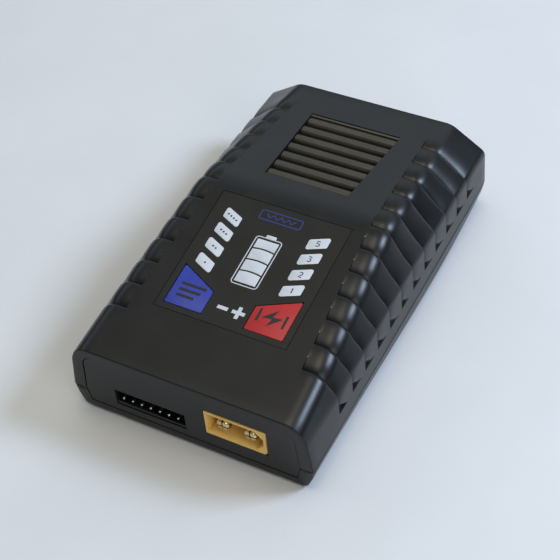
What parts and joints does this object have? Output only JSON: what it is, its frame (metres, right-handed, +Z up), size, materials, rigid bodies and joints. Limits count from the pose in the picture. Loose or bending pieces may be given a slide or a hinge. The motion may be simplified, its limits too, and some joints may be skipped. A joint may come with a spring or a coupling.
{
  "type": "balance battery charger",
  "caption": "Handheld mains charger for model batteries: wedge-topped plastic case with scaled shoulders, key label, vent, balance socket and bullet power socket.",
  "frame": {"origin": "midway between the feet, on the surface that they stand on (bounding box bottom centre)", "axes": "+X to the right seen from the front panel, +Y from the front panel to the back, +Z up"},
  "size_m": [0.0646, 0.1052, 0.0305],
  "materials": {
    "case_black": "fine-textured satin ABS",
    "panel_black": "fine-textured satin ABS",
    "vent_grey": "satin brownish grey",
    "label_charcoal": "matte printed polycarbonate film",
    "light_white": "milky translucent acrylic",
    "key_blue": "matte printed blue",
    "key_red": "matte printed red",
    "switch_black": "moulded nylon",
    "steel": "bright pressed steel",
    "board_green": "green solder mask on glass epoxy",
    "led_amber": "clear epoxy",
    "ribbon_grey": "soft vinyl",
    "socket_yellow": "amber glass-filled nylon",
    "gold_plate": "thin gold plating",
    "tin_plate": "bright tin plating",
    "socket_black": "black nylon",
    "glass_tube": "clear glass",
    "capacitor_yellow": "moulded box",
    "package_black": "epoxy moulding",
    "capacitor_sleeve": "shrunk vinyl sleeve",
    "ferrite": "sintered ferrite",
    "winding_tape": "polyester tape",
    "choke_green": "epoxy-coated powdered iron",
    "copper_wire": "enamelled copper",
    "aluminium": "mill finish",
    "screw_black": "black oxide",
    "foot_rubber": "soft black rubber"
  },
  "bodies": {
    "case": {"upper_case": "case_black", "lower_case": "case_black", "front_panel": "panel_black", "vent_grille": "vent_grey", "label_film": "label_charcoal", "chemistry_light_guides": "light_white", "current_light_guides": "light_white", "battery_light_guides": "light_white", "switch_bodies": "steel", "display_board": "board_green", "indicator_leds": "led_amber", "ribbon_cable": "ribbon_grey", "main_board": "board_green", "power_socket_housing": "socket_yellow", "power_socket_contacts": "gold_plate", "balance_socket_housing": "socket_black", "balance_socket_pins": "tin_plate", "mains_inlet_housing": "socket_black", "mains_inlet_pins": "tin_plate", "fuse": "glass_tube", "interference_capacitor": "capacitor_yellow", "bridge_rectifier": "package_black", "bulk_capacitor": "capacitor_sleeve", "transformer_core": "ferrite", "transformer_winding": "winding_tape", "choke_core": "choke_green", "choke_winding": "copper_wire", "output_capacitors": "capacitor_sleeve", "heatsink": "aluminium", "power_transistors": "package_black", "control_chip": "package_black", "board_screws": "steel", "case_screws": "screw_black", "rubber_feet": "foot_rubber"},
    "mode_key_set": {"mode_key": "key_blue", "mode_switch_plunger": "switch_black"},
    "current_key_set": {"current_key": "key_red", "current_switch_plunger": "switch_black"}
  },
  "joints": [
    {"name": "mode_key_press", "type": "slide", "parent": "case", "child": "mode_key_set", "axis": [0, 0.1504, -0.9886], "range_m": [0, 0.0003], "stiffness_N_per_m": 600},
    {"name": "current_key_press", "type": "slide", "parent": "case", "child": "current_key_set", "axis": [0, 0.1504, -0.9886], "range_m": [0, 0.0003], "stiffness_N_per_m": 600}
  ]
}
